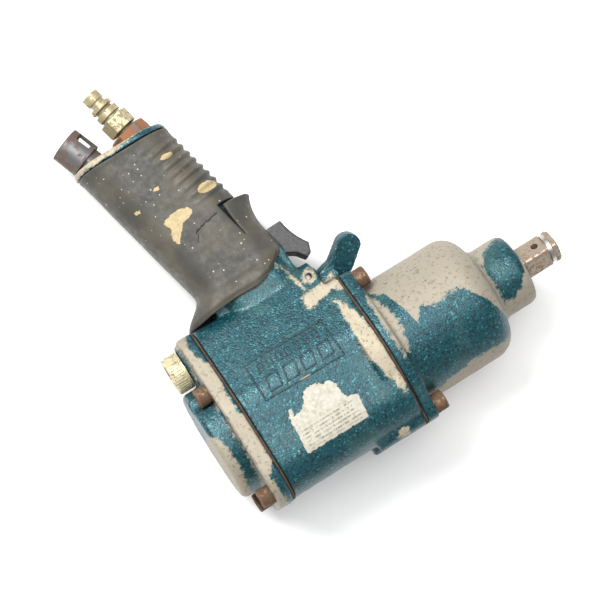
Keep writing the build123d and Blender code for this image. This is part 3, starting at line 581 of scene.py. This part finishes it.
def sleeve_point(turn, y):
    """Outside of the sleeve at an angle round it (0 on the left side, positive to the front) and a height."""
    flare = ease(72, 57, y)
    ledge = math.exp(-((y - 69.5) / 2.2) ** 2)
    middle = handle_x(max(y, 66)) - 9.0 * flare
    half_x = 25.0 + 4.2 * flare
    half_z = 19.6 + 1.2 * flare + 0.7 * ledge
    x, z, out = rounded_section(turn, half_x, half_z, 15.5)
    front = ease(math.radians(8), math.radians(45), turn) * ease(math.radians(175), math.radians(150), turn)
    ribs = 0.75 * math.cos(2 * math.pi * (y - 0.18 * x) / 4.5) * ease(106, 112, y) * ease(147, 142, y)
    lumps = 0.35 * noise.noise(Vector((x * 0.06, y * 0.05, z * 0.06)))
    swell = ribs * front + lumps + 0.5 * ease(148, 151, y)
    sink = 1 - 0.34 * flare * ease(-58, -76, middle + x)
    return Vector((middle + x + out.x * swell, y, (z + out.y * swell) * sink))


def tuck(y, edge):
    """How far the skirt's lip curls in towards the housing near its edge."""
    return 1.6 * ease(edge + 3.5, edge, y)


def build_sleeve():
    turns = [math.pi * 2 * i / COLUMNS for i in range(COLUMNS)]
    slit_turn = math.atan2(SLIT_OFFSET, 18.6)
    slit = min(range(COLUMNS), key=lambda i: abs(turns[i] - slit_turn))
    last = min(range(COLUMNS), key=lambda i: abs(turns[i] - math.radians(152)))
    edges = []
    for turn in turns:
        base = sleeve_point(turn, 62)
        edges.append(along(SKIRT_EDGE, base.x))
    shares = sorted({i / ROWS for i in range(ROWS + 1)})
    mesh = bpy.data.meshes.new("grip_sleeve_rubber")
    grown = bmesh.new()
    main = []
    heights = []
    body_rows = [SLEEVE_END + (TEAR_TOP - SLEEVE_END) * i / 64 for i in range(65)]
    tear_rows = [TEAR_TOP + (TEAR_BOTTOM - TEAR_TOP) * i / 28 for i in range(1, 29)]
    skirt_rows = 36
    top = len(body_rows) - 1
    bottom = top + len(tear_rows)
    for column, turn in enumerate(turns):
        levels = body_rows + tear_rows
        levels = levels + [TEAR_BOTTOM + (edges[column] - TEAR_BOTTOM) * i / skirt_rows
                           for i in range(1, skirt_rows + 1)]
        heights.append(levels)
    for row in range(len(heights[0])):
        line = []
        for column, turn in enumerate(turns):
            y = heights[column][row]
            point = sleeve_point(turn, y)
            curl = tuck(y, edges[column])
            point.z -= math.copysign(min(abs(point.z), curl), point.z) if abs(point.z) > 1 else 0
            line.append(point)
        main.append(line)
    ragged = [0.9 * noise.noise(Vector((column * 0.35, 3.1, 0))) for column in range(COLUMNS)]
    verts = [[grown.verts.new(place(*point)) for point in line] for line in main]
    flap = {}
    for row in range(top, bottom):
        for column in range(slit, last):
            on_edge = row == top or column == slit
            share = (heights[column][row] - TEAR_BOTTOM) / (TEAR_TOP - TEAR_BOTTOM)
            lift = share ** 1.7
            around = ease(last, last - 10, column)
            across = (column - slit) / (last - slit)
            peel = lift * around * (2.6 + 4.6 * math.sin(math.pi * min(1.0, across * 1.25)))
            point = main[row][column].copy()
            turn = turns[column]
            point.x += peel * (0.75 + 0.25 * math.sin(turn))
            point.z += peel * 0.35 * math.cos(turn)
            point.y += (ragged[column] - 0.6) * lift - 1.6 * lift * lift * math.sin(math.pi * across)
            flap[row, column] = grown.verts.new(place(*point)) if on_edge else verts[row][column]
            if not on_edge:
                verts[row][column].co = place(*point)
    for column in range(slit, last):
        verts[top][column].co = place(*(main[top][column] + Vector((0, 0.5 * ragged[column] + 0.3, 0))))
    for row in range(len(verts) - 1):
        for column in range(COLUMNS):
            following = (column + 1) % COLUMNS
            corners = [(row, column), (row, following), (row + 1, following), (row + 1, column)]
            in_flap = top <= row < bottom and slit <= column < last
            face = [flap.get(corner, verts[corner[0]][corner[1]]) if in_flap else verts[corner[0]][corner[1]]
                    for corner in corners]
            grown.faces.new(face)
    bmesh.ops.recalc_face_normals(grown, faces=grown.faces)
    grown.to_mesh(mesh)
    grown.free()
    piece = add_piece("grip_sleeve_rubber", mesh, "grip_sleeve")
    thicken = piece.modifiers.new("wall", "SOLIDIFY")
    thicken.thickness = SLEEVE_WALL * MM
    thicken.offset = -1.0
    divide = piece.modifiers.new("divide", "SUBSURF")
    divide.levels = 1
    applied(piece)
    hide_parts("grip_sleeve")
    return piece


build_sleeve()


# ---- Label ----
LABEL_OUTLINE = [(-59.6, -24.2), (-24.8, -24.4), (-23.4, -12.0), (-28.6, -10.2), (-30.4, -6.0), (-29.6, -2.2),
                 (-32.5, 0.6), (-36.0, 1.4), (-38.5, 3.4), (-43.0, 3.2), (-46.0, 2.0), (-48.6, -2.0),
                 (-51.0, -4.6), (-55.4, -4.8), (-55.0, -1.0), (-57.6, -2.4), (-58.4, -9.0)]


def inside(outline, x, y):
    """Whether a place is inside an outline."""
    found = False
    for (ax, ay), (bx, by) in zip(outline, outline[1:] + outline[:1]):
        if (ay > y) != (by > y) and x < ax + (y - ay) * (bx - ax) / (by - ay):
            found = not found
    return found


def build_label():
    mesh = bpy.data.meshes.new("left_label_film")
    grown = bmesh.new()
    cell = 0.4
    corners = {}

    def corner(i, j):
        if (i, j) not in corners:
            x, y = -61 + i * cell, -26 + j * cell
            corners[i, j] = grown.verts.new(place(x, y, left_side(y) + 0.16))
        return corners[i, j]

    for i in range(100):
        for j in range(80):
            x, y = -61 + (i + 0.5) * cell, -26 + (j + 0.5) * cell
            torn = 1.1 if y > -11 else 0.35
            wander = noise.noise_vector(Vector((x * 0.7, y * 0.7, 0.3))) * torn
            if inside(LABEL_OUTLINE, x + wander.x, y + wander.y):
                grown.faces.new([corner(i, j), corner(i + 1, j), corner(i + 1, j + 1), corner(i, j + 1)])
    grown.to_mesh(mesh)
    grown.free()
    piece = add_piece("left_label_film", mesh, "name_label")
    thicken = piece.modifiers.new("film", "SOLIDIFY")
    thicken.thickness = 0.12 * MM
    thicken.offset = -1.0
    applied(piece)
    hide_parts("name_label")


build_label()


# ---- Raised plain frame on the left side ----
def raised_line(grown, points, width, height):
    """Raised bead along points on the left side, closed on itself."""
    rings = []
    count = len(points)
    for i, (x, y) in enumerate(points):
        ahead, behind = points[(i + 1) % count], points[i - 1]
        run = Vector((ahead[0] - behind[0], ahead[1] - behind[1])).normalized()
        side_step = Vector((-run.y, run.x)) * width / 2
        profile = [(-1.0, -0.3), (-0.55, height), (0.55, height), (1.0, -0.3)]
        line = []
        for share, rise in profile:
            px, py = x + side_step.x * share, y + side_step.y * share
            line.append(grown.verts.new(place(px, py, left_side(py) + rise)))
        rings.append(line)
    for i in range(count):
        first, second = rings[i], rings[(i + 1) % count]
        for j in range(4):
            grown.faces.new([first[j], first[(j + 1) % 4], second[(j + 1) % 4], second[j]])


def loop_points(corners, step=1.0):
    """Closed run of points round the given corners."""
    points = []
    for (ax, ay), (bx, by) in zip(corners, corners[1:] + corners[:1]):
        steps = max(1, int(math.hypot(bx - ax, by - ay) / step))
        points += [(ax + (bx - ax) * i / steps, ay + (by - ay) * i / steps) for i in range(steps)]
    return points


def build_emblem():
    """Frame with plain slanted bars and small lozenges inside it."""
    mesh = bpy.data.meshes.new("raised_frame")
    grown = bmesh.new()
    raised_line(grown, loop_points([(-63.0, 8.6), (-18.8, 7.6), (-19.4, 28.0), (-62.6, 29.0)]), 1.1, 0.42)
    for i in range(4):
        x = -58.5 + i * 9.8
        bar = [(x, 11.0), (x + 6.4, 11.0), (x + 7.6, 18.6), (x + 1.2, 18.6)]
        raised_line(grown, loop_points(bar, 0.8), 1.0, 0.38)
    for i in range(7):
        x = -58.0 + i * 5.2
        bar = [(x, 22.0), (x + 2.6, 22.0), (x + 3.2, 26.0), (x + 0.6, 26.0)]
        raised_line(grown, loop_points(bar, 0.7), 0.8, 0.32)
    bmesh.ops.recalc_face_normals(grown, faces=grown.faces)
    grown.to_mesh(mesh)
    grown.free()
    # The frame's finish is darkened with painted shade so its raised lines read dark.
    finish = painted("frame_hammertone", [lambda f: f.blob((-41, 8), (3, 2))], rub=0.3, shade=0.6)
    add_piece("raised_frame", mesh, "motor_housing", finish)


build_emblem()


# ---- Floor, light and camera ----
def floor_finish():
    f = Finish("floor_paper", roughness=0.9)
    tone = f.mix(f.noise(0.01, 2), (0.93, 0.93, 0.93, 1), (0.95, 0.95, 0.95, 1))
    return f.done(tone)


low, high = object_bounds()
bpy.ops.mesh.primitive_plane_add(size=12, location=(0, 0, low[2]))
floor = bpy.context.object
floor.name = "floor"
floor.data.materials.append(floor_finish())

world = bpy.data.worlds.new("soft_room")
bpy.context.scene.world = world
world.use_nodes = True
world.node_tree.nodes["Background"].inputs["Color"].default_value = (1, 1, 1, 1)
world.node_tree.nodes["Background"].inputs["Strength"].default_value = 0.5


def soft_light(name, place_at, power, size):
    light = bpy.data.lights.new(name, "AREA")
    light.energy = power
    light.shape = "DISK"
    light.size = size
    lamp = bpy.data.objects.new(name, light)
    lamp.location = place_at
    lamp.rotation_euler = (Vector((0, 0, 0.03)) - Vector(place_at)).to_track_quat("-Z", "Y").to_euler()
    bpy.context.scene.collection.objects.link(lamp)


soft_light("key", (-0.35, 0.9, 1.3), 34, 0.8)
soft_light("top", (0.2, 0.2, 1.9), 22, 1.4)

FOCAL = 2920.0
FRAME_PIXELS = 600.0
CAMERA_AT = (-0.1777, 0.0468, 1.4752)
CAMERA_RIGHT = Vector((0.8446, -0.5223, 0.1173)).normalized()
CAMERA_UP = Vector((0.5247, 0.8512, 0.0120))
camera_data = bpy.data.cameras.new("camera")
camera_data.sensor_width = 36
camera_data.lens = FOCAL * 36 / FRAME_PIXELS
camera_data.clip_end = 20
camera = bpy.data.objects.new("camera", camera_data)
back = CAMERA_RIGHT.cross(CAMERA_UP).normalized()
turn = Matrix((CAMERA_RIGHT, back.cross(CAMERA_RIGHT), back)).transposed()
camera.matrix_world = Matrix.Translation(CAMERA_AT) @ turn.to_4x4()
bpy.context.scene.collection.objects.link(camera)
bpy.context.scene.camera = camera
bpy.context.scene.view_settings.view_transform = "Standard"
